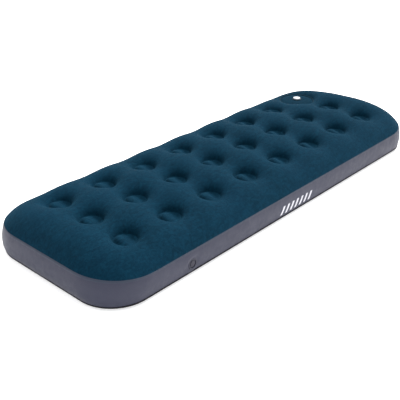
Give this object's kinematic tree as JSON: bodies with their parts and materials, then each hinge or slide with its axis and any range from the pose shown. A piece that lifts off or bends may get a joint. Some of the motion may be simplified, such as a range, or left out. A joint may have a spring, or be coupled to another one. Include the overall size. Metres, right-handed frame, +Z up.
{
  "type": "air mattress",
  "caption": "Single flocked air mattress with a grid of round welded dimples, grey side band, and a foot pump built into one corner.",
  "frame": {"origin": "floor under the middle of the mattress", "axes": "+X along the length towards the end with the foot pump, +Y across the width towards the pump's side, +Z up"},
  "size_m": [1.9104, 0.6805, 0.172],
  "materials": {
    "flocked_top": "velvety flock on PVC",
    "side_sheet": "satin PVC sheet",
    "base_sheet": "satin PVC sheet",
    "seam_weld": "satin welded PVC",
    "inner_sheet": "matte PVC sheet",
    "pump_foam": "open-cell foam",
    "white_valve": "moulded soft PVC",
    "grey_valve": "moulded soft PVC",
    "dark_valve": "moulded soft PVC",
    "clear_flap": "thin soft PVC film"
  },
  "bodies": {
    "bed": {"top_panel": "flocked_top", "side_band": "side_sheet", "bottom_panel": "base_sheet", "top_seam": "seam_weld", "bottom_seam": "seam_weld", "coil_beam_01": "inner_sheet", "coil_beam_02": "inner_sheet", "coil_beam_03": "inner_sheet", "coil_beam_04": "inner_sheet", "coil_beam_05": "inner_sheet", "coil_beam_06": "inner_sheet", "coil_beam_07": "inner_sheet", "coil_beam_08": "inner_sheet", "coil_beam_09": "inner_sheet", "coil_beam_10": "inner_sheet", "coil_beam_11": "inner_sheet", "coil_beam_12": "inner_sheet", "coil_beam_13": "inner_sheet", "coil_beam_14": "inner_sheet", "coil_beam_15": "inner_sheet", "coil_beam_16": "inner_sheet", "coil_beam_17": "inner_sheet", "coil_beam_18": "inner_sheet", "coil_beam_19": "inner_sheet", "coil_beam_20": "inner_sheet", "coil_beam_21": "inner_sheet", "coil_beam_22": "inner_sheet", "coil_beam_23": "inner_sheet", "pump_ring_weld": "seam_weld", "pump_dome": "flocked_top", "pump_wall": "inner_sheet", "pump_base": "inner_sheet", "pump_foam": "pump_foam", "outlet_valve_seat": "white_valve", "release_valve_flange": "grey_valve"},
    "pump_head": {"inlet_valve_base": "dark_valve", "inlet_valve_strap": "dark_valve"},
    "inlet_cap": {"inlet_valve_cap": "white_valve"},
    "inlet_flap": {"inlet_valve_flap": "clear_flap"},
    "outlet_flap": {"outlet_valve_flap": "clear_flap"},
    "release_neck": {"release_valve_neck": "grey_valve"},
    "release_plug": {"release_valve_plug": "grey_valve"},
    "release_flap": {"release_valve_flap": "clear_flap"}
  },
  "joints": [
    {"name": "pump_stroke", "type": "slide", "parent": "bed", "child": "pump_head", "axis": [0, 0, -1], "range_m": [0, 0.06], "stiffness_N_per_m": 400, "deforming": ["pump_foam", "pump_dome"]},
    {"name": "inlet_cap_hinge", "type": "hinge", "parent": "pump_head", "child": "inlet_cap", "pos_m": [0.735, 0.2025, 0.1583], "axis": [-1, 0, 0], "range_deg": [0, 140]},
    {"name": "inlet_flap_hinge", "type": "hinge", "parent": "pump_head", "child": "inlet_flap", "pos_m": [0.735, 0.169, 0.1407], "axis": [-1, 0, 0], "range_deg": [0, 40], "stiffness_Nm_per_rad": 0.01},
    {"name": "outlet_flap_hinge", "type": "hinge", "parent": "bed", "child": "outlet_flap", "pos_m": [0.735, 0.168, 0.0232], "axis": [-1, 0, 0], "range_deg": [0, 35], "stiffness_Nm_per_rad": 0.01},
    {"name": "release_neck_slide", "type": "slide", "parent": "bed", "child": "release_neck", "axis": [0, -1, 0], "range_m": [0, 0.01]},
    {"name": "release_plug_hinge", "type": "hinge", "parent": "release_neck", "child": "release_plug", "pos_m": [-0.583, -0.3381, 0.0577], "axis": [-1, 0, 0], "range_deg": [0, 100]},
    {"name": "release_flap_hinge", "type": "hinge", "parent": "release_neck", "child": "release_flap", "pos_m": [-0.583, -0.3155, 0.055], "axis": [1, 0, 0], "range_deg": [0, 40], "stiffness_Nm_per_rad": 0.01}
  ]
}
